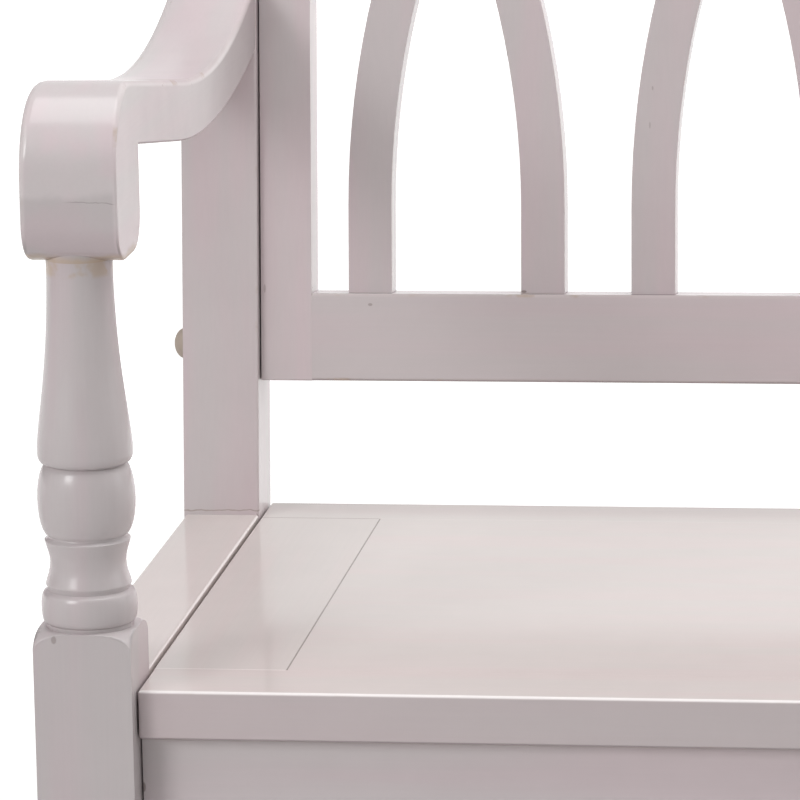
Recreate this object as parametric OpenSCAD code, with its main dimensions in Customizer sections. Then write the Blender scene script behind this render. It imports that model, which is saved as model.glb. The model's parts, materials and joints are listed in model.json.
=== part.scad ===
// Storage bench: turned front legs, rolled arms, a raked back of lancet arches
// and a chest under a lid that is hinged along its rear edge.
// Every module is drawn with the front legs' front faces at y = 0 and the floor at z = 0.
// The node calls at the end of the file move the bench so that y = 0 is its middle.

/* [Overall] */
// Width over the front legs
bench_w = 1092; // [1068:4:1180]
// Height of the lid's top
seat_h = 457; // [430:1:480]
// Height of the rear posts' tops
total_h = 914; // [900:1:930]
// Depth at the seat, from the front legs' fronts to the rear posts' backs
seat_d = 431.5; // [425:0.5:450]
// Lean of the back from upright, in degrees
rake = 6.25; // [4:0.25:7]

/* [Front legs] */
// Side of the square leg
leg = 48; // [44:0.5:52]
// Height of the leg's turned top end above the lid
leg_top = 210.5; // [210:0.5:212]
// Radius of the turned tenon that enters the arm
leg_tenon_r = 10; // [6:1:12]
// Height of the turned tenon
leg_tenon_h = 24; // [18:1:30]
// Depth that the turning itself is let into the arm
leg_housing = 10; // [9:1:14]
// Height of the glide under each foot
glide_h = 4; // [3:0.5:6]
// Radius of the glide
glide_r = 11; // [8:1:18]

/* [Rear posts] */
// Width of a rear post
post_w = 42; // [38:1:46]
// Thickness of a rear post, front to back
post_t = 40.5; // [38:0.5:44]
// How far the posts stand above the top rail
post_proud = 8; // [4:1:14]

/* [Arms] */
// Width of an arm
arm_w = 47.5; // [42:0.5:48]
// Depth of the rolled front end
roll_d = 61; // [58:1:66]
// Upper radius of the roll's nose
nose_r_top = 38; // [34:1:38]
// Lower radius of the roll's nose
nose_r_low = 20; // [16:1:26]
// Rounding of the roll's rear lower corner
roll_heel_r = 18; // [12:1:20]
// Fall of the arm behind the roll, millimetres for each millimetre
arm_fall = 0.1435; // [0.13:0.0005:0.15]
// Height of the lowest point of the arm's top above the lid
arm_low = 266.8; // [264:0.1:270]
// Thickness of the arm at its lowest point
arm_t = 29.2; // [26:0.1:31]

/* [Backrest] */
// Number of lancet arches
arch_count = 6; // [6]
// Width over one arch
arch_w = 119.2; // [112:0.1:120]
// Gap between neighbouring arches
arch_gap = 36.5; // [32:0.5:38]
// Width of a slat
slat_w = 24; // [20:0.5:26]
// Thickness of a slat
slat_t = 18; // [14:0.5:20]
// Height of the lower and top rails
rail_h = 48.2; // [44:0.1:52]
// Width of a stile
stile_w = 29; // [26:1:32]
// Thickness of the stiles and rails
frame_t = 25; // [22:0.5:28]
// Width and depth of the shadow gap between a stile's front and its post
stile_gap = 0.9; // [0.5:0.1:1.2]
stile_gap_d = 12; // [6:1:14]
// Setback of the frame behind the posts' front faces
frame_set = 6; // [3:0.5:9]
// Setback of the slats behind the frame's front face
slat_set = 3; // [2:0.5:5]
// Height of the lower rail's underside above the lid, along the posts
frame_low = 75.7; // [70:0.1:82]
// Height of the arches' spring line above the lid, along the posts
arch_spring = 171.6; // [160:0.1:180]

/* [Lid] */
// Thickness of the lid
lid_t = 24.2; // [22:0.1:26]
// Setback of the lid's front edge behind the legs' fronts
lid_front = 10.6; // [8:0.1:14]
// Gap at each end of the lid
lid_gap = 0.8; // [0.5:0.1:1.5]
// Depth of the lid's front rail
lid_front_rail_d = 45.3; // [40:0.1:50]
// Depth of the lid's rear rail
lid_rear_rail_d = 38; // [36:0.5:44]
// Width of the lid's end boards
lid_end_w = 66.2; // [60:0.1:72]
// Depth and thickness of the tongues inside the lid
lid_tongue = 8; // [6:0.5:9]

/* [Chest] */
// Space under the closed lid, filled by the bumpers and the fixed hinge leaves
lid_rest = 1.5; // [1.5]
// Setback of the chest's front behind the legs' fronts
apron_set = 19.5; // [17:0.5:22]
// Thickness of the front and side rails
case_t = 22; // [20:0.5:22]
// Thickness of the back rails
back_rail_t = 26; // [25:0.5:28]
// Width and depth of the shadow gaps at the front rails' ends
rail_gap = 0.8; // [0.5:0.1:1.2]
rail_gap_d = 6; // [3:1:6]
// Height of the upper rails
case_rail_h = 60; // [50:1:70]
// Height of the lower rails' undersides
case_low = 80; // [60:1:100]
// Height of the lower rails
case_foot_h = 70; // [60:1:80]
// Width of a muntin between two front panels
muntin_w = 50; // [40:1:60]
// Thickness of the panels
panel_t = 6; // [5:0.5:8]
// Depth of the panel grooves
groove = 6; // [4:0.5:7]
// Thickness of the bottom board
bottom_t = 9; // [6:0.5:12]
// Side of the square cleats that hold the bottom board
cleat = 20; // [16:1:24]
// Thickness of the boards beside the lid
side_board_t = 20; // [18:1:22]
// Height of the side boards above the lid's top
side_board_rise = 2; // [1:0.5:3]
// Setback of the side boards' outer edges from the legs' outer faces
side_board_set = 7.5; // [6:0.5:9]
// Setback of the side rails from the legs' outer faces
side_rail_set = 10; // [9:0.5:11]
// Thickness of the rails' tenons
tenon_t = 10; // [8:1:10]
// Length of the tenons that enter the legs and posts
tenon_l = 11; // [8:1:11]
// Width of the shoulders above and below every rail's tenon
tenon_shoulder = 8; // [6:1:12]

/* [Hinges and fasteners] */
// Length of a hinge
hinge_l = 64; // [50:1:76]
// Width of a hinge leaf
leaf_w = 20; // [18:1:21]
// Radius of the hinge barrel
barrel_r = 3.2; // [3:0.1:3.5]
// Radius of the hinge pin
hinge_pin_r = 1.5; // [1.2:0.1:1.6]
// Running clearance of the pin in its barrel
pin_play = 0.05; // [0.02:0.01:0.08]
// Inset of the outer hinges' middles from the lid's ends
hinge_inset = 140; // [100:5:180]
// Length of a hinge screw
screw_l = 14; // [10:1:16]
// Radius of the back and arm bolts
bolt_r = 3; // [2.5:0.5:3]
// Radius of a bolt cap
cap_r = 8.5; // [7:0.5:9]
// Height of a bolt cap above the wood
cap_h = 7.5; // [6:0.5:8]
// Height of the lower back bolts above the lid, along the posts
bolt_low = 95; // [88:1:112]

/* [Hidden] */
$fn = 64;

paint = [0.78, 0.73, 0.71];
seat_paint = [0.86, 0.82, 0.80];
bare_wood = [0.66, 0.58, 0.50];
steel = [0.62, 0.61, 0.58];
nylon = [0.80, 0.79, 0.76];

// The legs' and posts' inner faces, which the lid and the chest fit between
inner_x = bench_w / 2 - leg;
leg_x = bench_w / 2 - leg / 2;
post_x = inner_x + post_w / 2;
post_y = seat_d - post_t;
post_l = (total_h - seat_h) / cos(rake);
depth = post_y + post_t * cos(rake) + post_l * sin(rake);

// Backrest, measured along the raked posts from the level of the lid's top
frame_top = post_l - post_proud;
opening_low = frame_low + rail_h;
opening_top = frame_top - rail_h;
opening_x = inner_x - stile_w;
stub = 12;
slat_stub = 10;
slat_stub_edge = 4;
slat_stub_face = 3;
apex_cut = 3.3;
arch_half = arch_w / 2;
arch_rise = opening_top + apex_cut - arch_spring;
arch_r = (arch_rise * arch_rise + arch_half * arch_half) / (2 * arch_half);
slat_y = frame_set + slat_set;
bolt_y = frame_set + frame_t / 2;
bolt_high = frame_top - rail_h / 2;
dowel_r = 4;
dowel_l = 34;
mitre_gap = 0.05;

// Turned leg, above the lid's top
shoulder_low = 19;
shoulder_top = 30;
shoulder_r = 22;
turn_r = leg / 2;
waist_r = 16.1;
turn_top_r = waist_r + 0.1;

// Arm outline, above the lid's top
arm_low_y = 271;
sweep_front = 560;
sweep_rear = 450;
under_low_y = arm_low_y - 12;
under_sweep_front = sweep_front + arm_t;
under_sweep_rear = 700;
arm_steps = 24;

// Lid
lid_w = 2 * (inner_x - lid_gap);
lid_back = seat_d - 0.5;
lid_under = seat_h - lid_t;
lid_in_front = lid_front + lid_front_rail_d;
lid_in_back = lid_back - lid_rear_rail_d;
lid_end_x = lid_w / 2 - lid_end_w;
lid_tongue_inset = 20;
bumper_r = 6;

// Chest
case_top = lid_under - lid_rest;
case_mid_top = case_top - case_rail_h;
case_mid_low = case_low + case_foot_h;
apron_mid = apron_set + case_t / 2;
back_rail_y = seat_d - back_rail_t;
back_mid = seat_d - back_rail_t / 2;
side_rail_x = bench_w / 2 - side_rail_set - case_t / 2;
side_board_x = bench_w / 2 - side_board_set;
side_board_low = seat_h + side_board_rise - side_board_t;
panel_w = (2 * inner_x - 2 * muntin_w) / 3;
panel_pitch = panel_w + muntin_w;
board_play = 1;

// Hinges
hinge_y = lid_back + barrel_r + 0.4;
hinge_x = lid_w / 2 - hinge_inset;
knuckles = 5;
knuckle_gap = 0.2;
knuckle_l = (hinge_l - (knuckles - 1) * knuckle_gap) / knuckles;
leaf_edge = 0.2;
screw_r = 1.6;
screw_head_r = 3;
screw_sink = 1.4;
screw_step = 22;
screw_recess = 0.1;
pin_head_r = 2.3;
pin_head_h = 1.2;
bolt_head_r = 5.5;
bolt_head_h = 5;
sink_r = 6;
sink_d = 9;
bolt_play = 0.25;
insert_r = 5;
insert_l = 16;
arm_bolt_l = 36;
cap_rim = 1.5;

// ---------- functions ----------

// Points of an ellipse's arc in a plane
function arc(cx, cy, rx, ry, from, to, steps = 10) =
  [for (i = [0 : steps]) let (a = from + (to - from) * i / steps)
    [cx + rx * cos(a), cy + ry * sin(a)]];

// Points of a turned bulge (or cove, when r_mid is the smaller) from z_a to z_b
function turned(z_a, z_b, r_end, r_mid, fullness = 1, steps = 12) =
  [for (i = [0 : steps]) let (a = -90 + 180 * i / steps)
    [r_end + (r_mid - r_end) * pow(max(cos(a), 0), fullness),
     (z_a + z_b) / 2 + (z_b - z_a) / 2 * sin(a)]];

// Points of a cubic curve through a and d, pulled towards b and c
function curve(a, b, c, d, steps = 14) =
  [for (i = [0 : steps]) let (t = i / steps, u = 1 - t)
    u * u * u * a + 3 * u * u * t * b + 3 * u * t * t * c + t * t * t * d];

// Height of an arm's long edge: a straight fall, a dip and a rise to the post
function sweep(y, low_y, low_z, r_front, r_rear) =
  let (start_y = low_y - arm_fall * r_front)
  y < start_y
    ? low_z + arm_fall * arm_fall * r_front / 2 + arm_fall * (start_y - y)
    : low_z + (y - low_y) * (y - low_y) / (2 * (y < low_y ? r_front : r_rear));
function arm_over(y) = sweep(y, arm_low_y, arm_low, sweep_front, sweep_rear);
function arm_under(y) =
  sweep(y, under_low_y, arm_low - arm_t, under_sweep_front, under_sweep_rear);

// Where the raked front face of a post is at a height above the lid
function post_face(z) = post_y + tan(rake) * z;

// The arm's ends: where the nose meets the long top edge, and where both edges meet the post
nose_end = 90 - atan(arm_fall);
nose_y = nose_r_top + nose_r_top * cos(nose_end);
nose_z = arm_over(nose_y) - nose_r_top * sin(nose_end);
over_end = post_face(arm_over(post_face(arm_over(post_face(arm_low)))));
under_end = post_face(arm_under(post_face(arm_under(post_face(arm_low)))));
arm_bolt_h = (arm_over(over_end) + arm_under(under_end)) / 2 / cos(rake);

// Middle of an arch, counted from the left
function arch_mid(i) = (i - (arch_count - 1) / 2) * (arch_w + arch_gap);

// ---------- helpers ----------

// A box given by its lowest and highest corners
module block(low, high) translate(low) cube(high - low);

// The same shape on the left (-1) or mirrored to the right (1)
module on_side(side) {
  if (side < 0) children();
  else mirror([1, 0, 0]) children();
}

// Axes that lean with the back: z along the posts, y into them, from the lid's level
module raked() translate([0, post_y, seat_h]) rotate([-rake, 0, 0]) children();

// ---------- turned front leg ----------

module leg_turning() {
  spindle = concat(
    [[0, shoulder_top - 1], [21.4, shoulder_top - 1], [21.4, 31.8]],
    turned(32, 47.5, 21.2, 23.4, 0.8),
    [[20, 48.3], [20, 49.4]],
    turned(50.8, 73, 20.9, 18.5, 3),
    [[19.4, 74.1], [19.4, 75.2]],
    turned(75.6, 110.2, 19.6, turn_r - 0.15, 1.2),
    arc(20.2, 115.4, 3, 4.6, -90, 0, 6),
    curve([23.2, 119.5], [21.7, 138], [16.5, 160], [waist_r, 205]),
    [[turn_top_r, leg_top], [0, leg_top]]);
  translate([-leg_x, leg / 2, seat_h]) rotate_extrude() polygon(spindle);
}

module leg_block() {
  shoulder = concat(
    [[0, glide_h - seat_h], [leg, glide_h - seat_h], [leg, shoulder_low]],
    arc(shoulder_r, shoulder_low, leg * 0.26, shoulder_top - shoulder_low, 0, 90),
    [[0, shoulder_top]]);
  intersection() {
    block([-bench_w / 2, 0, glide_h], [-inner_x, leg, seat_h + shoulder_top]);
    translate([-leg_x, leg / 2, seat_h]) rotate_extrude() polygon(shoulder);
  }
}

module leg_tenon() translate([-leg_x, leg / 2, seat_h + leg_top - 1]) {
  cylinder(r = leg_tenon_r, h = leg_tenon_h + 1);
  cylinder(r = turn_top_r, h = leg_housing + 1);
}

module front_leg(side) color(paint) on_side(side) difference() {
  union() {
    leg_block();
    leg_turning();
    leg_tenon();
  }
  front_tenons();
  side_tenons();
  front_panel_field();
  side_panel_field();
}

// ---------- rear post ----------

module rear_post(side) color(paint) on_side(side) difference() {
  top = post_l * [sin(rake), cos(rake)];
  post_side = [
    [post_y, glide_h],
    [post_y, seat_h],
    [post_y, seat_h] + top,
    [post_y, seat_h] + top + post_t * [cos(rake), -sin(rake)],
    [seat_d, seat_h + (post_t - post_t / cos(rake)) / tan(rake)],
    [seat_d, glide_h]];
  translate([-inner_x, 0, 0]) rotate([90, 0, -90]) mirror([1, 0, 0])
    linear_extrude(post_w) polygon(post_side);
  side_tenons();
  back_tenons();
  side_panel_field();
  back_panel_field();
  raked() {
    at_back_bolts() bolt_hole(post_w);
    at_arm_bolt() bolt_hole(post_t);
  }
}

// ---------- arm ----------

module arm(side) color(paint) on_side(side) difference() {
  outline = concat(
    arc(nose_r_low, leg_top + nose_r_low, nose_r_low, nose_r_low, 270, 180),
    arc(nose_r_top, nose_z, nose_r_top, nose_r_top, 180, nose_end, 12),
    [for (i = [1 : arm_steps]) let (y = nose_y + (over_end - nose_y) * i / arm_steps)
      [y, arm_over(y)]],
    [for (i = [arm_steps : -1 : 0]) let (y = roll_d + (under_end - roll_d) * i / arm_steps)
      [y, arm_under(y)]],
    arc(roll_d - roll_heel_r, leg_top + roll_heel_r, roll_heel_r, roll_heel_r, 0, -90, 6));
  translate([-leg_x + arm_w / 2, 0, seat_h]) rotate([90, 0, -90]) mirror([1, 0, 0])
    linear_extrude(arm_w) polygon(outline);
  leg_tenon();
  raked() at_arm_bolt() cylinder(r = bolt_r, h = post_t + arm_bolt_l);
}

// ---------- chest ----------

// Tenons of the rails that run across the bench, and of those that run front to back
module cross_tenons(y, low, high)
  block([-inner_x - tenon_l, y - tenon_t / 2, low + tenon_shoulder],
        [inner_x + tenon_l, y + tenon_t / 2, high - tenon_shoulder]);
module front_tenons() {
  cross_tenons(apron_mid, case_mid_top, case_top);
  cross_tenons(apron_mid, case_low, case_mid_low);
}
module back_tenons() {
  cross_tenons(back_mid, case_mid_top, case_top);
  cross_tenons(back_mid, case_low, case_mid_low);
}
module side_tenons()
  for (span = [[case_mid_top, side_board_low], [case_low, case_mid_low]])
    block([-side_rail_x - tenon_t / 2, leg - tenon_l, span[0] + tenon_shoulder],
          [-side_rail_x + tenon_t / 2, post_y + tenon_l, span[1] - tenon_shoulder]);

// The space that the panels' edges and the muntins' stubs take in the grooves
module front_panel_field()
  block([-inner_x - groove, apron_mid - panel_t / 2, case_mid_low - groove],
        [inner_x + groove, apron_mid + panel_t / 2, case_mid_top + groove]);
module back_panel_field()
  block([-inner_x - groove, back_mid - panel_t / 2, case_mid_low - groove],
        [inner_x + groove, back_mid + panel_t / 2, case_mid_top + groove]);
module side_panel_field()
  block([-side_rail_x - panel_t / 2, leg - groove, case_mid_low - groove],
        [-side_rail_x + panel_t / 2, post_y + groove, case_mid_top + groove]);

module front_rail(low, high) color(paint) difference() {
  union() {
    block([-inner_x, apron_set, low], [inner_x, apron_set + case_t, high]);
    cross_tenons(apron_mid, low, high);
  }
  front_panel_field();
  for (side = [-1, 1]) on_side(side)
    block([-inner_x - 1, apron_set - 1, low - 1],
          [-inner_x + rail_gap, apron_set + rail_gap_d, high + 1]);
}

// Front panels run left to right as -1, 0 and 1
module front_panel_shape(i)
  block([i * panel_pitch - panel_w / 2 - groove, apron_mid - panel_t / 2,
         case_mid_low - groove],
        [i * panel_pitch + panel_w / 2 + groove, apron_mid + panel_t / 2,
         case_mid_top + groove]);
module front_panel(i) color(paint) front_panel_shape(i);

module front_muntin(side) color(paint) on_side(side) difference() {
  union() {
    block([-(panel_pitch + muntin_w) / 2, apron_set, case_mid_low],
          [-(panel_pitch - muntin_w) / 2, apron_set + case_t, case_mid_top]);
    block([-(panel_pitch + muntin_w) / 2, apron_mid - panel_t / 2, case_mid_low - groove],
          [-(panel_pitch - muntin_w) / 2, apron_mid + panel_t / 2, case_mid_top + groove]);
  }
  front_panel_shape(-1);
  front_panel_shape(0);
}

module back_rail(low, high) color(paint) difference() {
  union() {
    block([-inner_x, back_rail_y, low], [inner_x, seat_d, high]);
    cross_tenons(back_mid, low, high);
  }
  back_panel_field();
  if (high == case_top) at_hinges() screws(-1, screw_recess);
}

module back_panel() color(paint) back_panel_field();

module side_rail(side, low, high) color(paint) on_side(side) difference() {
  union() {
    block([-side_rail_x - case_t / 2, leg, low], [-side_rail_x + case_t / 2, post_y, high]);
    intersection() {
      side_tenons();
      block([-bench_w / 2, 0, low], [0, seat_d, high]);
    }
  }
  side_panel_field();
}

module side_panel(side) color(paint) on_side(side) side_panel_field();

module side_board(side) color(seat_paint) on_side(side)
  block([-side_board_x, leg, side_board_low],
        [-inner_x - 0.2, post_y, seat_h + side_board_rise]);

// The bottom board is notched round the legs and posts, and lies on four cleats
module bottom_board() color(paint) {
  low = case_low + cleat;
  board_x = side_rail_x - case_t / 2 - board_play;
  block([-inner_x + board_play, apron_set + case_t + board_play, low],
        [inner_x - board_play, back_rail_y - board_play, low + bottom_t]);
  block([-board_x, leg + board_play, low], [board_x, post_y - board_play, low + bottom_t]);
}

module cross_cleat(y) color(bare_wood)
  block([-inner_x + board_play, y, case_low], [inner_x - board_play, y + cleat,
        case_low + cleat]);

module side_cleat(side) color(bare_wood) on_side(side)
  block([-side_rail_x + case_t / 2, apron_set + case_t + cleat, case_low],
        [-side_rail_x + case_t / 2 + cleat, back_rail_y - cleat, case_low + cleat]);

// ---------- backrest, drawn in the raked axes ----------

module backrest_tenons()
  for (low = [frame_low, opening_top])
    block([-opening_x - stub, bolt_y - tenon_t / 2, low + tenon_shoulder],
          [opening_x + stub, bolt_y + tenon_t / 2, low + rail_h - tenon_shoulder]);

module backrest_stile(side) color(paint) on_side(side) raked() difference() {
  block([-inner_x, frame_set, frame_low], [-opening_x, frame_set + frame_t, frame_top]);
  block([-inner_x - 1, frame_set - 1, frame_low - 1],
        [-inner_x + stile_gap, frame_set + stile_gap_d, frame_top + 1]);
  backrest_tenons();
  at_back_bolts() translate([0, 0, post_w]) cylinder(r = insert_r, h = insert_l);
}

module backrest_rail(low) color(paint) raked() difference() {
  union() {
    block([-opening_x, frame_set, low], [opening_x, frame_set + frame_t, low + rail_h]);
    intersection() {
      backrest_tenons();
      block([-inner_x, 0, low], [inner_x, post_t, low + rail_h]);
    }
  }
  for (i = [0 : arch_count - 1]) translate([arch_mid(i), 0, 0]) {
    slat_stub_block();
    mirror([1, 0, 0]) slat_stub_block();
    arch_dowel();
  }
}

module slat_stub_block()
  block([-arch_half + slat_stub_edge, slat_y + slat_stub_face, opening_low - slat_stub],
        [-arch_half + slat_w - slat_stub_edge, slat_y + slat_t - slat_stub_face, opening_low]);

module arch_dowel()
  translate([0, slat_y + slat_t / 2, opening_top - dowel_l / 2])
    cylinder(r = dowel_r, h = dowel_l);

// The left half of an arch, about its middle; the two halves meet in a mitre
module slat() {
  outer_end = asin((opening_top - arch_spring) / arch_r);
  inner_r = arch_r - slat_w;
  inner_end = acos((arch_r - arch_half + mitre_gap) / inner_r);
  slat_face = concat(
    [[-arch_half, opening_low]],
    arc(arch_r - arch_half, arch_spring, arch_r, arch_r, 180, 180 - outer_end, 16),
    [[-mitre_gap, opening_top]],
    arc(arch_r - arch_half, arch_spring, inner_r, inner_r, 180 - inner_end, 180, 14),
    [[-arch_half + slat_w, opening_low]]);
  difference() {
    translate([0, slat_y + slat_t, 0]) rotate([90, 0, 0])
      linear_extrude(slat_t) polygon(slat_face);
    arch_dowel();
  }
  slat_stub_block();
}

module arch(i) color(paint) raked() translate([arch_mid(i), 0, 0]) {
  slat();
  mirror([1, 0, 0]) slat();
}

module arch_dowels() color(bare_wood) raked()
  for (i = [0 : arch_count - 1]) translate([arch_mid(i), 0, 0]) arch_dowel();

// ---------- bolts and caps, drawn in the raked axes ----------

// Axes at a bolt's mouth in the post's face, z into the wood; drawn for the left side
module at_back_bolts()
  for (h = [bolt_low, bolt_high])
    translate([-inner_x - post_w, bolt_y, h]) rotate([0, 90, 0]) children();
module at_arm_bolt()
  translate([-post_x, post_t, arm_bolt_h]) rotate([90, 0, 0]) children();

module bolt_hole(through) {
  translate([0, 0, -1]) cylinder(r = sink_r, h = sink_d + 1);
  cylinder(r = bolt_r + bolt_play, h = through);
}
module bolt(length) {
  translate([0, 0, sink_d - bolt_head_h]) cylinder(r = bolt_head_r, h = bolt_head_h);
  translate([0, 0, sink_d - 1]) cylinder(r = bolt_r, h = length - sink_d + 1);
}
module cap() {
  translate([0, 0, -cap_rim])
    mirror([0, 0, 1]) rotate_extrude()
      polygon(concat([[0, -cap_rim]], [[cap_r, -cap_rim]],
        arc(0, 0, cap_r, cap_h - cap_rim, 0, 90)));
  cylinder(r = sink_r, h = sink_d - bolt_head_h - 1);
}

module backrest_bolts() color(steel)
  for (side = [-1, 1]) on_side(side) raked() at_back_bolts() bolt(post_w + insert_l - 2);

module backrest_inserts() color(steel)
  for (side = [-1, 1]) on_side(side) raked() at_back_bolts()
    translate([0, 0, post_w]) difference() {
      cylinder(r = insert_r, h = insert_l);
      cylinder(r = bolt_r, h = insert_l);
    }

module arm_bolts() color(steel)
  for (side = [-1, 1]) on_side(side) raked() at_arm_bolt() bolt(post_t + arm_bolt_l);

module bolt_caps() color(bare_wood)
  for (side = [-1, 1]) on_side(side) raked() {
    at_back_bolts() cap();
    at_arm_bolt() cap();
  }

module foot_glides() color(nylon)
  for (side = [-1, 1]) on_side(side) {
    translate([-leg_x, leg / 2, 0]) cylinder(r = glide_r, h = glide_h);
    translate([-post_x, post_y + post_t / 2, 0]) cylinder(r = glide_r, h = glide_h);
  }

// ---------- hinges ----------

// Axes on a hinge's pin, z up
module at_hinge(x) translate([x, hinge_y, lid_under]) children();
module at_hinges() for (x = [-hinge_x, 0, hinge_x]) at_hinge(x) children();

// Countersunk screws through a leaf, up into the lid (1) or down into the rail (-1)
module screws(way, recess = 0)
  for (i = [-1 : 1])
    translate([i * screw_step, -barrel_r - leaf_edge - leaf_w / 2, 0])
      mirror([0, 0, way < 0 ? 1 : 0]) {
        translate([0, 0, recess])
          cylinder(r1 = screw_head_r, r2 = screw_r, h = screw_sink);
        translate([0, 0, recess + screw_sink - 0.1])
          cylinder(r = screw_r, h = screw_l - screw_sink);
      }

module leaf_plate(way)
  block([-hinge_l / 2, -barrel_r - leaf_edge - leaf_w, way < 0 ? -lid_rest : 0],
        [hinge_l / 2, -barrel_r - leaf_edge, way < 0 ? 0 : lid_rest]);

module leaf(way) difference() {
  union() {
    leaf_plate(way);
    for (k = [way < 0 ? 0 : 1 : 2 : knuckles - 1])
      translate([-hinge_l / 2 + k * (knuckle_l + knuckle_gap), 0, 0]) {
        block([0, -barrel_r - leaf_edge - 1, way < 0 ? -lid_rest : 0],
              [knuckle_l, 0, way < 0 ? 0 : lid_rest]);
        rotate([0, 90, 0]) cylinder(r = barrel_r, h = knuckle_l);
      }
  }
  translate([-hinge_l / 2 - 1, 0, 0]) rotate([0, 90, 0])
    cylinder(r = hinge_pin_r + pin_play, h = hinge_l + 2);
  screws(way);
  screws(way, screw_recess);
}

module hinge_leaf_fixed(x) color(steel) at_hinge(x) leaf(-1);
module hinge_leaf_lid(x) color(steel) at_hinge(x) leaf(1);

module hinge_pins() color(steel) at_hinges() rotate([0, 90, 0])
  translate([0, 0, -hinge_l / 2]) {
    cylinder(r = hinge_pin_r, h = hinge_l);
    translate([0, 0, -pin_head_h]) cylinder(r = pin_head_r, h = pin_head_h);
    translate([0, 0, hinge_l]) cylinder(r = pin_head_r, h = pin_head_h);
  }

module fixed_leaf_screws() color(steel) at_hinges() screws(-1, screw_recess);
module lid_leaf_screws() color(steel) at_hinges() screws(1, screw_recess);

// ---------- lid ----------

// The middle of the lid's thickness, where its boards' tongues run
lid_tongue_low = lid_under + lid_t / 2 - lid_tongue / 2;
module lid_tongue_field(x)
  block([-x, lid_in_front - lid_tongue, lid_tongue_low],
        [x, lid_in_back + lid_tongue, lid_tongue_low + lid_tongue]);

module lid_front_rail() color(seat_paint) difference() {
  block([-lid_w / 2, lid_front, lid_under], [lid_w / 2, lid_in_front, seat_h]);
  lid_tongue_field(lid_w / 2 - lid_tongue_inset);
}

module lid_rear_rail() color(seat_paint) difference() {
  block([-lid_w / 2, lid_in_back, lid_under], [lid_w / 2, lid_back, seat_h]);
  lid_tongue_field(lid_w / 2 - lid_tongue_inset);
  at_hinges() {
    leaf_plate(1);
    screws(1, screw_recess);
  }
}

module lid_end_board(side) color(seat_paint) on_side(side) difference() {
  union() {
    block([-lid_w / 2, lid_in_front, lid_under], [-lid_end_x, lid_in_back, seat_h]);
    block([-lid_w / 2 + lid_tongue_inset, lid_in_front - lid_tongue, lid_tongue_low],
          [-lid_end_x - lid_tongue, lid_in_back + lid_tongue,
           lid_tongue_low + lid_tongue]);
  }
  lid_tongue_field(lid_end_x + lid_tongue);
}

module lid_panel() color(seat_paint) {
  block([-lid_end_x, lid_in_front, lid_under], [lid_end_x, lid_in_back, seat_h]);
  lid_tongue_field(lid_end_x + lid_tongue);
}

module lid_bumpers() color(nylon)
  for (side = [-1, 1])
    translate([side * (lid_end_x - bumper_r), apron_mid, case_top])
      cylinder(r = bumper_r, h = lid_rest);

// ---------- nodes ----------

module placed() translate([0, -depth / 2, 0]) children();

placed() front_leg(-1);  // front_leg_left
placed() front_leg(1);  // front_leg_right
placed() rear_post(-1);  // rear_post_left
placed() rear_post(1);  // rear_post_right
placed() arm(-1);  // arm_left
placed() arm(1);  // arm_right
placed() side_board(-1);  // side_board_left
placed() side_board(1);  // side_board_right
placed() side_rail(-1, case_mid_top, side_board_low);  // side_top_rail_left
placed() side_rail(1, case_mid_top, side_board_low);  // side_top_rail_right
placed() side_rail(-1, case_low, case_mid_low);  // side_bottom_rail_left
placed() side_rail(1, case_low, case_mid_low);  // side_bottom_rail_right
placed() side_panel(-1);  // side_panel_left
placed() side_panel(1);  // side_panel_right
placed() front_rail(case_mid_top, case_top);  // front_top_rail
placed() front_rail(case_low, case_mid_low);  // front_bottom_rail
placed() front_muntin(-1);  // front_muntin_left
placed() front_muntin(1);  // front_muntin_right
placed() front_panel(-1);  // front_panel_left
placed() front_panel(0);  // front_panel_middle
placed() front_panel(1);  // front_panel_right
placed() back_rail(case_mid_top, case_top);  // back_top_rail
placed() back_rail(case_low, case_mid_low);  // back_bottom_rail
placed() back_panel();
placed() bottom_board();
placed() cross_cleat(apron_set + case_t);  // bottom_cleat_front
placed() cross_cleat(back_rail_y - cleat);  // bottom_cleat_back
placed() side_cleat(-1);  // bottom_cleat_left
placed() side_cleat(1);  // bottom_cleat_right
placed() backrest_stile(-1);  // backrest_stile_left
placed() backrest_stile(1);  // backrest_stile_right
placed() backrest_rail(frame_low);  // backrest_lower_rail
placed() backrest_rail(opening_top);  // backrest_top_rail
placed() arch(0);  // arch_1
placed() arch(1);  // arch_2
placed() arch(2);  // arch_3
placed() arch(3);  // arch_4
placed() arch(4);  // arch_5
placed() arch(5);  // arch_6
placed() arch_dowels();
placed() backrest_bolts();
placed() backrest_inserts();
placed() arm_bolts();
placed() bolt_caps();
placed() foot_glides();
placed() hinge_leaf_fixed(-hinge_x);  // hinge_leaf_fixed_left
placed() hinge_leaf_fixed(0);  // hinge_leaf_fixed_middle
placed() hinge_leaf_fixed(hinge_x);  // hinge_leaf_fixed_right
placed() fixed_leaf_screws();
placed() hinge_pins();
placed() lid_front_rail();
placed() lid_rear_rail();
placed() lid_end_board(-1);  // lid_end_board_left
placed() lid_end_board(1);  // lid_end_board_right
placed() lid_panel();
placed() hinge_leaf_lid(-hinge_x);  // hinge_leaf_lid_left
placed() hinge_leaf_lid(0);  // hinge_leaf_lid_middle
placed() hinge_leaf_lid(hinge_x);  // hinge_leaf_lid_right
placed() lid_leaf_screws();
placed() lid_bumpers();
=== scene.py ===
import json
import math
import random

import bmesh
import bpy
from mathutils import Matrix, Vector


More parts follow.
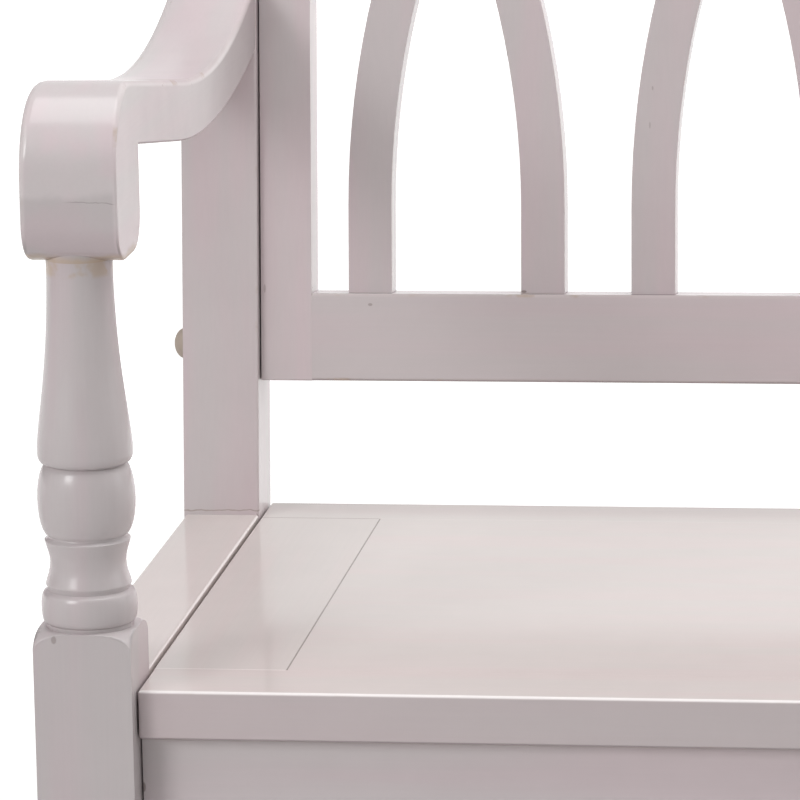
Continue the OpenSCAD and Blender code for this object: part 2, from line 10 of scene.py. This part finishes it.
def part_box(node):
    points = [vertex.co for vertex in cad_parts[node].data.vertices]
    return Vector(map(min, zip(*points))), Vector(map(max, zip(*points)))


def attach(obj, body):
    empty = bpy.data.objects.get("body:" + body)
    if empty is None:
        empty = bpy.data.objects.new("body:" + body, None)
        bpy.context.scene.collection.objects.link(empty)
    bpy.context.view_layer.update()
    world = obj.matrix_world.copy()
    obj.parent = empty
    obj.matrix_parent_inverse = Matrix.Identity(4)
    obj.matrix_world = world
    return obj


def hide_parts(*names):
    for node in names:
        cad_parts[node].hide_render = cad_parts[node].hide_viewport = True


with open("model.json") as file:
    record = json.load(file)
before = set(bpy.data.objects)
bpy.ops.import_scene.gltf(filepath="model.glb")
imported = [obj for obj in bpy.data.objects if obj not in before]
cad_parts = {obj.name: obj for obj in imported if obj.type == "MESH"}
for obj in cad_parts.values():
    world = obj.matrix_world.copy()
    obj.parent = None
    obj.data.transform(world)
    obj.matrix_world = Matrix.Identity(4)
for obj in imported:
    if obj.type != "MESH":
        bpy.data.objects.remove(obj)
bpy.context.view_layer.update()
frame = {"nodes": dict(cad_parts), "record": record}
nodes = frame["nodes"]
body_of = {n: b for b, names in frame["record"]["behaviour"]["bodies"].items() for n in names}

MM = 0.001

# ---------- places that the edges and the wear are set out from, on the left side ----------

LEG_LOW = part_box("front_leg_left")[0]
ARM_LOW, ARM_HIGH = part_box("arm_left")
ARM_MIDDLE = (ARM_LOW[0] + ARM_HIGH[0]) / 2
POST_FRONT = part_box("rear_post_left")[0][1]
STILE_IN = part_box("backrest_stile_left")[1][0]
LID_LOW, LID_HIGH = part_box("lid_front_rail")
PANEL_LOW, PANEL_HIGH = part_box("lid_panel")
PANEL_TONGUE = 8 * MM  # the panel's box takes in its tongues, which its joints hide
JOINT_FRONT, JOINT_REAR = PANEL_LOW[1] + PANEL_TONGUE, PANEL_HIGH[1] - PANEL_TONGUE
END_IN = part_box("lid_end_board_left")[1][0]

# ---------- camera, far in front of the middle, looking down and towards the left end ----------

camera = bpy.data.objects.new("camera", bpy.data.cameras.new("camera"))
bpy.context.scene.collection.objects.link(camera)
bpy.context.scene.camera = camera
camera.location = (-0.0108, -2.8098, 1.1306)
camera.rotation_mode = "QUATERNION"
camera.rotation_quaternion = (
    Matrix.Rotation(math.radians(7.841), 3, "Z")
    @ Matrix.Rotation(math.radians(90 - 11.474), 3, "X")
    @ Matrix.Rotation(math.radians(-1.099), 3, "Z")
).to_quaternion()
camera.data.lens = 251.2
camera.data.sensor_width = 36
camera.data.clip_end = 200

# ---------- node graphs ----------


class Graph:
    """A short way to write a material's or the world's nodes."""

    def __init__(self, tree):
        self.tree = tree

    def add(self, kind, inputs=None, **settings):
        node = self.tree.nodes.new(kind)
        for name, value in settings.items():
            setattr(node, name, value)
        for name, value in (inputs or {}).items():
            self.put(node.inputs[name], value)
        return node

    def put(self, socket, value):
        if isinstance(value, bpy.types.NodeSocket):
            self.tree.links.new(value, socket)
        else:
            socket.default_value = value

    def maths(self, operation, *values):
        node = self.tree.nodes.new("ShaderNodeMath")
        node.operation = operation
        for socket, value in zip(node.inputs, values):
            self.put(socket, value)
        return node.outputs[0]

    def times(self, first, *others):
        for other in others:
            first = self.maths("MULTIPLY", first, other)
        return first

    def vector(self, operation, *values):
        node = self.tree.nodes.new("ShaderNodeVectorMath")
        node.operation = operation
        for socket, value in zip(node.inputs, values):
            self.put(socket, value)
        return node.outputs[1] if operation in ("LENGTH", "DOT_PRODUCT") else node.outputs[0]

    def axes(self, vector):
        return tuple(self.add("ShaderNodeSeparateXYZ", {"Vector": vector}).outputs)

    def fac(self, name):
        return self.add("ShaderNodeAttribute", attribute_name=name).outputs["Fac"]

    def noise(self, vector, scale, detail=2.0, roughness=0.5):
        return self.add("ShaderNodeTexNoise", {"Vector": vector, "Scale": scale,
                        "Detail": detail, "Roughness": roughness}).outputs[0]

    def step(self, value, low, high):
        """0 up to low and 1 from high, or the reverse where low is the larger."""
        return self.add("ShaderNodeMapRange", {"Value": value, "From Min": low,
                        "From Max": high}, interpolation_type="SMOOTHSTEP").outputs[0]

    def within(self, value, low, high, soft):
        """1 between low and high, and 0 beyond soft from them."""
        return self.times(self.step(value, low - soft, low), self.step(value, high + soft, high))

    def mix(self, factor, a, b, blend="MIX"):
        node = self.tree.nodes.new("ShaderNodeMix")
        node.data_type, node.blend_type = "RGBA", blend
        self.put(node.inputs[0], factor)
        self.put(node.inputs[6], a)
        self.put(node.inputs[7], b)
        return node.outputs[2]


def new_material(name):
    material = bpy.data.materials.new(name)
    material.use_nodes = True
    material.node_tree.nodes.clear()
    graph = Graph(material.node_tree)
    shader = graph.add("ShaderNodeBsdfPrincipled")
    output = graph.add("ShaderNodeOutputMaterial")
    graph.put(output.inputs["Surface"], shader.outputs[0])
    return material, graph, shader


# ---------- paint ----------

TAN = (0.50, 0.385, 0.29, 1)
DIRT = (0.13, 0.10, 0.09, 1)
CHIP = (0.20, 0.15, 0.13, 1)
BLACK = (0.0, 0.0, 0.0, 1)
SEAM = (0.30, 0.22, 0.17, 1)
# Painted highlight for eased edges facing up, then painted shade for eased edges facing down
EDGE_HIGHLIGHT = (0.82, 0.74, 0.735, 1)
EDGE_UNDERSIDE_SHADE = (0.19, 0.155, 0.15, 1)
# The first of this pair is a painted highlight for the lid's front joint, the second a dark joint line
FRONT_JOINT_HIGHLIGHT, LINE_DARK = (0.80, 0.73, 0.72, 1), (0.33, 0.28, 0.26, 1)
# Painted shade for the lid's front face, and a painted highlight for its front lip
LID_SHADE, LID_LIP_HIGHLIGHT = (0.36, 0.29, 0.34, 1), (0.93, 0.89, 0.88, 1)
JOINT_DIRT = (0.22, 0.19, 0.165, 1)


def roll_marks(g, place, ripple, colour):
    """The arm's front roll: painted shade on the lower part of its nose, a short crack, and tan paint
    round the turning.
    """
    x, y, z = g.axes(place)
    bottom = ARM_LOW[2]
    front = g.step(y, LEG_LOW[1] + 62 * MM, LEG_LOW[1] + 58 * MM)
    on_roll = g.times(front, g.step(z, bottom - 0.1 * MM, bottom))
    on_nose = g.times(g.step(y, LEG_LOW[1] + 14 * MM, LEG_LOW[1] + 6 * MM),
                      g.step(x, ARM_HIGH[0] - 0.3 * MM, ARM_HIGH[0] - 3 * MM))
    height = g.maths("SUBTRACT", z, bottom)
    wobble = g.maths("MULTIPLY_ADD", g.noise(place, 55.0, 3.0), 10 * MM, -5 * MM)
    uneven = g.maths("ADD", height, wobble)
    # Painted shade: the lower part of the nose darkened towards black
    lower = g.times(on_roll, on_nose, g.step(uneven, 36.5 * MM, 31.5 * MM))
    colour = g.mix(g.times(lower, 0.14), colour, BLACK)
    thin = g.times(on_roll, g.step(uneven, 5 * MM, 1 * MM))
    colour = g.mix(g.times(thin, 0.7), colour, TAN)
    across = g.maths("SUBTRACT", x, LEG_LOW[0])
    crack_height = g.maths("MULTIPLY_ADD", across, -0.05, 32.5 * MM)
    off = g.maths("ADD", g.maths("SUBTRACT", height, crack_height), ripple)
    crack = g.times(on_nose, g.within(across, 30 * MM, 48 * MM, 10 * MM),
                    g.step(g.maths("ABSOLUTE", off), 0.4 * MM, 0.08 * MM))
    colour = g.mix(g.times(crack, 0.40), colour, DIRT)
    collar = g.times(front, g.within(z, bottom - 5.5 * MM, bottom, 3 * MM),
                     g.step(g.noise(place, 75.0, 3.0, 0.6), 0.40, 0.56))
    return g.mix(g.times(collar, 0.65), colour, TAN)


def frame_marks(g, place, colour):
    """Marks on the frame: painted shade and wear on the roll, the seam at the rear post's foot, and
    chips on the left side.
    """
    ripple = g.maths("MULTIPLY_ADD", g.noise(place, 160.0, 2.0), 2.4 * MM, -1.2 * MM)
    colour = roll_marks(g, place, ripple, colour)
    _, y, z = g.axes(place)
    off = g.maths("SUBTRACT", g.maths("SUBTRACT", z, LID_HIGH[2] + 4.2 * MM), ripple)
    seam = g.times(g.step(g.maths("ABSOLUTE", off), 0.55 * MM, 0.1 * MM),
                   g.within(y, POST_FRONT - 2 * MM, POST_FRONT + 3 * MM, 1 * MM))
    colour = g.mix(g.times(seam, 0.55), colour, SEAM)
    # Chips on the lower rail, the leg's shoulder, the stile's foot, two slats and the leg's joint:
    # each one's place, half-lengths and strength
    for at, size, strength in (
            ((-0.4365, 0.169, 0.5735), (0.0015, 0.004, 0.0010), 0.5),
            ((-0.5355, -0.241, 0.4845), (0.0016, 0.004, 0.0024), 0.45),
            ((-0.4950, 0.170, 0.5820), (0.0008, 0.004, 0.0028), 0.35),
            ((-0.4675, 0.173, 0.5820), (0.0020, 0.004, 0.0009), 0.7),
            ((-0.2815, 0.185, 0.6910), (0.0006, 0.004, 0.0014), 0.35),
            ((-0.2830, 0.183, 0.6710), (0.0006, 0.004, 0.0022), 0.30),
            ((-0.3520, 0.173, 0.5805), (0.0018, 0.004, 0.0009), 0.7),
            ((-0.4970, -0.221, 0.4065), (0.0012, 0.004, 0.0030), 0.7)):
        away = g.vector("DIVIDE", g.vector("SUBTRACT", place, at), size)
        inside = g.step(g.vector("LENGTH", away), 1.0, 0.6)
        colour = g.mix(g.times(inside, strength), colour, CHIP)
    return colour


def seat_marks(g, place, colour):
    """The lid's joints, with a painted highlight along the front joint on the end boards, painted shade
    on its front face, and a painted highlight along the front's top edge.
    """
    x, y, z = g.axes(place)
    sideways = g.maths("ABSOLUTE", x)
    end_off = g.maths("ABSOLUTE", g.maths("SUBTRACT", sideways, -END_IN))
    between = g.within(y, JOINT_FRONT, JOINT_REAR, 0.2 * MM)
    dirt = g.times(between, g.step(end_off, 0.65 * MM, 0.2 * MM))
    on_end = g.step(sideways, -END_IN, -END_IN + 1 * MM)
    # The front joint gets a painted highlight line, the rear joint a dark joint line
    for joint, tint, strength in ((JOINT_FRONT, FRONT_JOINT_HIGHLIGHT, 0.8), (JOINT_REAR, LINE_DARK, 0.7)):
        off = g.maths("ABSOLUTE", g.maths("SUBTRACT", y, joint))
        line = g.times(on_end, g.step(off, 0.9 * MM, 0.3 * MM), strength)
        colour = g.mix(line, colour, tint)
    # Painted shade on the lid's front face
    front = g.step(y, LID_LOW[1] + 1.6 * MM, LID_LOW[1] + 0.4 * MM)
    colour = g.mix(g.times(front, 0.36), colour, LID_SHADE)
    # A painted highlight along the front's top edge
    lip_highlight = g.times(g.step(y, LID_LOW[1] + 2.2 * MM, LID_LOW[1] + 1.2 * MM),
                  g.step(z, LID_HIGH[2] - 1.4 * MM, LID_HIGH[2] - 0.6 * MM))
    colour = g.mix(g.times(lip_highlight, 0.8), colour, LID_LIP_HIGHLIGHT)
    return g.mix(g.times(dirt, 0.75), colour, JOINT_DIRT)


def paint(name, warm, cool, rough, gloss, wear, edge_highlight, marks):
    """Brushed paint, with a painted highlight on eased edges facing up, painted shade on those facing
    down, and a brightness factor per piece that paints light on some pieces and shade on others.
    grain's first coordinate runs along the board, and edge is 1 on eased edges.
    """
    material, g, shader = new_material(name)
    grain = g.add("ShaderNodeAttribute", attribute_name="grain").outputs["Vector"]
    edge = g.fac("edge")
    place = g.add("ShaderNodeTexCoord").outputs["Object"]
    streak = g.noise(g.vector("MULTIPLY", grain, (3.0, 42.0, 42.0)), 1.0, 2.0)
    brush = g.noise(g.vector("MULTIPLY", grain, (16.0, 620.0, 620.0)), 1.0, 3.0, 0.6)
    mottle = g.noise(place, 34.0, 3.0)
    fine = g.noise(place, 420.0, 2.0)
    colour = g.mix(g.step(streak, 0.36, 0.64), warm, cool)
    # The piece's brightness factor paints light on some pieces (above 1) and shade on others (below 1)
    light = g.times(g.maths("MULTIPLY_ADD", mottle, 0.05, 0.975), g.fac("painted_light_level"))
    light = g.maths("MULTIPLY_ADD", g.maths("SUBTRACT", brush, 0.5), 0.045, light)
    colour = g.mix(1.0, colour, light, "MULTIPLY")
    # The eased edges: a painted highlight on those facing up, painted shade on those facing down, tan
    # where it is rubbed
    facing = g.add("ShaderNodeNewGeometry").outputs["Normal"]
    up = g.axes(facing)[2]
    # Painted highlight on eased edges facing up
    colour = g.mix(g.times(edge, g.step(up, -0.3, 0.1), edge_highlight), colour, EDGE_HIGHLIGHT)
    # Painted shade on eased edges facing down
    colour = g.mix(g.times(edge, g.step(up, -0.2, -0.6), 0.45), colour, EDGE_UNDERSIDE_SHADE)
    rubbed = g.step(g.noise(place, 46.0, 4.0, 0.65), 0.57, 0.72)
    colour = g.mix(g.times(edge, rubbed, wear), colour, TAN)
    chipped = g.step(g.noise(place, 130.0, 3.0, 0.6), 0.70, 0.74)
    colour = g.mix(g.times(edge, chipped, 0.6), colour, CHIP)
    g.put(shader.inputs["Base Color"], marks(g, place, colour))
    g.put(shader.inputs["Roughness"], g.maths("MULTIPLY_ADD", mottle, 0.06, rough - 0.03))
    g.put(shader.inputs["Specular IOR Level"], gloss)
    height = g.maths("ADD", g.times(brush, 0.35), g.times(fine, 0.15))
    height = g.maths("ADD", height, g.times(g.noise(place, 26.0, 1.0), 2.0))
    bump = g.add("ShaderNodeBump", {"Height": height, "Strength": 0.35, "Distance": 0.00012})
    g.put(shader.inputs["Normal"], bump.outputs[0])
    return material


# The second value from the end (0.2, 0.55) is the strength of the painted highlight on eased edges
# facing up
FRAME_PAINT = paint("brushed_frame_paint", (0.612, 0.522, 0.540, 1),
                    (0.585, 0.533, 0.538, 1), 0.22, 0.5, 0.55, 0.2, frame_marks)
SEAT_PAINT = paint("brushed_seat_paint", (0.668, 0.584, 0.570, 1),
                   (0.652, 0.594, 0.574, 1), 0.12, 0.42, 0.35, 0.55, seat_marks)


def wood(name, light, dark, rough):
    material, g, shader = new_material(name)
    grain = g.add("ShaderNodeAttribute", attribute_name="grain").outputs["Vector"]
    rings = g.noise(g.vector("MULTIPLY", grain, (5.0, 190.0, 190.0)), 1.0, 4.0, 0.6)
    pores = g.noise(g.vector("MULTIPLY", grain, (60.0, 1500.0, 1500.0)), 1.0, 2.0)
    colour = g.mix(g.step(rings, 0.35, 0.65), light, dark)
    pore = tuple(c * 0.55 for c in dark[:3]) + (1,)
    colour = g.mix(g.times(g.step(pores, 0.60, 0.75), 0.35), colour, pore)
    g.put(shader.inputs["Base Color"], colour)
    g.put(shader.inputs["Roughness"], g.maths("MULTIPLY_ADD", rings, 0.15, rough))
    bump = g.add("ShaderNodeBump", {"Height": g.maths("SUBTRACT", rings, pores),
                                    "Strength": 0.4, "Distance": 0.0002})
    g.put(shader.inputs["Normal"], bump.outputs[0])
    return material


CAP_WOOD = wood("cap_wood", (0.46, 0.39, 0.335, 1), (0.40, 0.325, 0.27, 1), 0.5)
BARE_WOOD = wood("bare_wood", (0.62, 0.50, 0.37, 1), (0.50, 0.38, 0.26, 1), 0.6)


def steel():
    material, g, shader = new_material("steel")
    place = g.add("ShaderNodeTexCoord").outputs["Object"]
    lines = g.noise(g.vector("MULTIPLY", place, (40.0, 900.0, 900.0)), 1.0, 2.0)
    spots = g.noise(place, 160.0, 3.0)
    g.put(shader.inputs["Base Color"],
          g.mix(g.step(spots, 0.35, 0.7), (0.62, 0.60, 0.56, 1), (0.50, 0.48, 0.45, 1)))
    shader.inputs["Metallic"].default_value = 1.0
    g.put(shader.inputs["Roughness"], g.maths("MULTIPLY_ADD", lines, 0.2, 0.22))
    bump = g.add("ShaderNodeBump", {"Height": lines, "Strength": 0.2, "Distance": 0.00005})
    g.put(shader.inputs["Normal"], bump.outputs[0])
    return material


def nylon():
    material, g, shader = new_material("nylon")
    place = g.add("ShaderNodeTexCoord").outputs["Object"]
    cloudy = g.noise(place, 90.0, 3.0)
    g.put(shader.inputs["Base Color"],
          g.mix(cloudy, (0.66, 0.63, 0.58, 1), (0.56, 0.53, 0.48, 1)))
    g.put(shader.inputs["Roughness"], g.maths("MULTIPLY_ADD", cloudy, 0.12, 0.42))
    shader.inputs["Subsurface Weight"].default_value = 0.1
    shader.inputs["Subsurface Radius"].default_value = (0.004, 0.004, 0.003)
    bump = g.add("ShaderNodeBump", {"Height": g.noise(place, 900.0, 2.0), "Strength": 0.15,
                                    "Distance": 0.00005})
    g.put(shader.inputs["Normal"], bump.outputs[0])
    return material


STEEL, NYLON = steel(), nylon()

# ---------- pieces ----------

ALONG = {"x": (0, 1, 2), "y": (1, 2, 0), "z": (2, 0, 1)}
seeds = random.Random(41)


def give_grain(mesh, way):
    """Stores the vertices' places, first coordinate along the grain, from a new start on each board."""
    order = ALONG[way]
    start = [seeds.uniform(-9, 9) for _ in range(3)]
    values = [v.co[order[k]] + start[k] for v in mesh.vertices for k in range(3)]
    mesh.attributes.new("grain", "FLOAT_VECTOR", "POINT").data.foreach_set("vector", values)


def outer(edge, points):
    """True for an edge between two faces that the whole piece lies behind."""
    return all((p - f.verts[0].co).dot(f.normal) < 2e-5 for f in edge.link_faces for p in points)


def weighted_copy(node, width, close, rule):
    """The node's mesh, welded, with a bevel weight on each edge that eased rounds over."""
    mesh = nodes[node].data.copy()
    shape = bmesh.new()
    shape.from_mesh(mesh)
    bmesh.ops.remove_doubles(shape, verts=shape.verts, dist=2e-6)
    bmesh.ops.dissolve_limit(shape, angle_limit=math.radians(0.2), verts=shape.verts,
                             edges=shape.edges, delimit=set())
    for face in shape.faces:
        face.material_index = 0
        face.smooth = True
    shape.normal_update()
    weights = shape.edges.layers.float.new("bevel_weight_edge")
    points = [v.co.copy() for v in shape.verts]
    for edge in shape.edges:
        if len(edge.link_faces) != 2 or edge.calc_face_angle_signed() < math.radians(50):
            continue
        own = [w for axis, value, w in close
               if all(abs(v.co[axis] - value) < 1e-4 for v in edge.verts)]
        if own:
            edge[weights] = own[0] / width
        elif rule:
            edge[weights] = rule(edge) / width
        elif outer(edge, points):
            edge[weights] = 1.0
    shape.to_mesh(mesh)
    shape.free()
    return mesh


def bevelled(mesh, material, width, painted_light_level):
    """A mesh with the weighted edges rounded, and the attributes that the paint reads."""
    mesh.materials.clear()
    mesh.materials.append(material)
    mesh.materials.append(material)
    source = bpy.data.objects.new("source", mesh)
    bpy.context.scene.collection.objects.link(source)
    bevel = source.modifiers.new("eased", "BEVEL")
    bevel.limit_method, bevel.width, bevel.segments = "WEIGHT", width, 4
    bevel.material, bevel.use_clamp_overlap = 1, True
    bpy.context.view_layer.update()
    done = bpy.data.meshes.new_from_object(source.evaluated_get(
        bpy.context.evaluated_depsgraph_get()))
    bpy.data.objects.remove(source)
    bpy.data.meshes.remove(mesh)
    flat = set(v for f in done.polygons if f.material_index == 0 for v in f.vertices)
    done.attributes.new("edge", "FLOAT", "POINT").data.foreach_set(
        "value", [0.0 if v.index in flat else 1.0 for v in done.vertices])
    # A brightness factor for the whole piece: painted light above 1, painted shade below 1
    done.attributes.new("painted_light_level", "FLOAT", "POINT").data.foreach_set(
        "value", [painted_light_level] * len(done.vertices))
    for face in done.polygons:
        face.material_index = 0
    done.materials.pop()
    done.set_sharp_from_angle(angle=math.radians(28))
    return done


def eased(node, way, material, width, close=(), rule=None, painted_light_level=1.0):
    """The node's shape with its long sharp edges rounded over, and its joints' edges hardly.
    close lists (axis, value, width) for the edges that lie in a plane; rule gives the width
    of any other edge, which is otherwise width for the edges on the outside of the piece.
    The last argument makes the whole piece's paint lighter or darker: painted light where it is above
    1, painted shade where it is below 1."""
    done = bevelled(weighted_copy(node, width, close, rule), material, width, painted_light_level)
    give_grain(done, way)
    piece = bpy.data.objects.new(node + "_finish", done)
    done.name = piece.name
    bpy.context.scene.collection.objects.link(piece)
    piece.modifiers.new("normals", "WEIGHTED_NORMAL").keep_sharp = True
    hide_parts(node)
    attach(piece, body_of[node])


LEG_HOLE = 20 * MM


def arm_ease(edge):
    """Wide on the arm's worn upper edges, most of all outside, and none round the leg's hole."""
    middle = (edge.verts[0].co + edge.verts[1].co) / 2
    side_face = [f for f in edge.link_faces if abs(f.normal.x) > 0.99]
    other = [f for f in edge.link_faces if abs(f.normal.x) < 0.01]
    off_centre = abs(middle.x) + ARM_MIDDLE
    if not side_face or not other or abs(off_centre) < LEG_HOLE:
        return 0.0
    up = max(other[0].normal.z, 0.0)
    outside = off_centre > 0
    return (2.5 + up * 5.0 if outside else 1.4 + up * 2.0) * MM


# The brightness factors given to the pieces below are painted shade (below 1) and painted light (above
# 1)
for side in ("left", "right"):
    eased("front_leg_" + side, "z", FRAME_PAINT, 1.6 * MM, painted_light_level=0.90)
    eased("rear_post_" + side, "z", FRAME_PAINT, 1.6 * MM, painted_light_level=1.03)
    eased("arm_" + side, "y", FRAME_PAINT, 7.5 * MM, rule=arm_ease, painted_light_level=1.01)
    eased("backrest_stile_" + side, "z", FRAME_PAINT, 1.2 * MM, painted_light_level=1.03,
          close=[(0, STILE_IN if side == "left" else -STILE_IN, 0.2 * MM)])
    eased("side_board_" + side, "y", SEAT_PAINT, 1.2 * MM, painted_light_level=1.06)
    for level in ("top", "bottom"):
        eased(f"side_{level}_rail_{side}", "y", FRAME_PAINT, 1.2 * MM)
    eased("side_panel_" + side, "y", FRAME_PAINT, 0.5 * MM)
    eased("lid_end_board_" + side, "y", SEAT_PAINT, 1.2 * MM,
          close=[(1, JOINT_FRONT, 0.15 * MM), (1, JOINT_REAR, 0.15 * MM),
                 (0, END_IN if side == "left" else -END_IN, 0.45 * MM)])
for level in ("top", "bottom"):
    eased(f"front_{level}_rail", "x", FRAME_PAINT, 1.2 * MM)
    eased(f"back_{level}_rail", "x", FRAME_PAINT, 1.2 * MM)
for side in ("left", "middle", "right"):
    eased("front_panel_" + side, "x", FRAME_PAINT, 0.5 * MM)
for side in ("left", "right"):
    eased("front_muntin_" + side, "z", FRAME_PAINT, 1.0 * MM)
eased("back_panel", "x", FRAME_PAINT, 0.5 * MM)
eased("bottom_board", "x", FRAME_PAINT, 0.6 * MM)
eased("backrest_lower_rail", "x", FRAME_PAINT, 2.0 * MM,
      close=[(0, STILE_IN, 0.0), (0, -STILE_IN, 0.0)])
eased("backrest_top_rail", "x", FRAME_PAINT, 1.6 * MM,
      close=[(0, STILE_IN, 0.0), (0, -STILE_IN, 0.0)])
# The arches' brightness factor below 1 is painted shade
for number in range(1, 7):
    eased(f"arch_{number}", "z", FRAME_PAINT, 1.0 * MM, rule=lambda edge: 1.0 * MM,
          painted_light_level=0.95)
eased("lid_front_rail", "x", SEAT_PAINT, 1.6 * MM,
      close=[(1, LID_HIGH[1], 0.15 * MM)])
eased("lid_rear_rail", "x", SEAT_PAINT, 1.2 * MM,
      close=[(1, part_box("lid_rear_rail")[0][1], 0.15 * MM)])
eased("lid_panel", "x", SEAT_PAINT, 0.6 * MM,
      close=[(0, END_IN, 0.3 * MM), (0, -END_IN, 0.3 * MM)])

for node, cad in nodes.items():
    if cad.hide_render:
        continue
    if node == "bolt_caps":
        finish = CAP_WOOD
    elif "cleat" in node or node == "arch_dowels":
        finish = BARE_WOOD
    elif node in ("foot_glides", "lid_bumpers"):
        finish = NYLON
    else:
        finish = STEEL
    for slot in cad.material_slots:
        slot.link = "OBJECT"
        slot.material = finish

# ---------- floor and light ----------


def make_floor():
    """A wide disc, pale near the bench, glowing faintly far away and white behind the bench."""
    mesh = bpy.data.meshes.new("floor")
    disc = bmesh.new()
    bmesh.ops.create_circle(disc, cap_ends=True, radius=90, segments=96)
    disc.to_mesh(mesh)
    disc.free()
    floor = bpy.data.objects.new("floor", mesh)
    bpy.context.scene.collection.objects.link(floor)
    floor.location.z = -0.5 * MM
    material, g, shader = new_material("floor")
    place = g.add("ShaderNodeTexCoord").outputs["Object"]
    behind = g.axes(place)[1]
    lit = g.maths("MULTIPLY_ADD", g.step(behind, 1.0, 6.0), 0.35, 0.58)
    lit = g.times(g.step(behind, 0.5, 1.6), lit)
    around = g.times(g.step(g.vector("LENGTH", place), 2.0, 7.0), 0.27)
    shader.inputs["Base Color"].default_value = (0.74, 0.735, 0.73, 1)
    shader.inputs["Roughness"].default_value = 0.9
    shader.inputs["Emission Color"].default_value = (1.0, 1.0, 0.995, 1)
    g.put(shader.inputs["Emission Strength"], g.maths("MAXIMUM", lit, around))
    mesh.materials.append(material)


def make_studio():
    """A dark room whose walls glow behind the bench, at its front left and on its right."""
    world = bpy.data.worlds.new("studio")
    bpy.context.scene.world = world
    world.use_nodes = True
    world.node_tree.nodes.clear()
    g = Graph(world.node_tree)
    way = g.add("ShaderNodeTexCoord").outputs["Generated"]
    level = 0.0
    for towards, power, strength in (((0, 1, 0), 4.0, 0.70), ((-1, -0.9, 0.5), 4.0, 1.05),
                                     ((1, 0, 0.2), 2.0, 0.35), ((1, 0.8, 0.2), 3.0, 1.6)):
        facing = g.vector("DOT_PRODUCT", way, tuple(Vector(towards).normalized()))
        glow = g.times(g.maths("POWER", g.maths("MAXIMUM", facing, 0.0), power), strength)
        level = g.maths("ADD", level, glow)
    background = g.add("ShaderNodeBackground", {"Color": (1.0, 0.995, 0.99, 1), "Strength": level})
    g.put(g.add("ShaderNodeOutputWorld").inputs["Surface"], background.outputs[0])


def lamp(name, at, towards, size, power):
    data = bpy.data.lights.new(name, "AREA")
    data.shape, data.size, data.size_y = "RECTANGLE", size[0], size[1]
    data.energy = power
    light = bpy.data.objects.new(name, data)
    bpy.context.scene.collection.objects.link(light)
    light.location = at
    light.rotation_mode = "QUATERNION"
    light.rotation_quaternion = (Vector(towards) - Vector(at)).to_track_quat("-Z", "Y")


make_floor()
make_studio()
lamp("overhead", (0.0, -0.3, 3.2), (0, 0, 0.4), (2.6, 2.2), 58)
lamp("key", (-2.2, -2.6, 1.9), (-0.2, 0.1, 0.6), (1.1, 1.1), 31)
lamp("right", (3.4, 0.4, 1.5), (0, 0.1, 0.6), (1.6, 1.6), 7)

bpy.context.scene.view_settings.view_transform = "Standard"
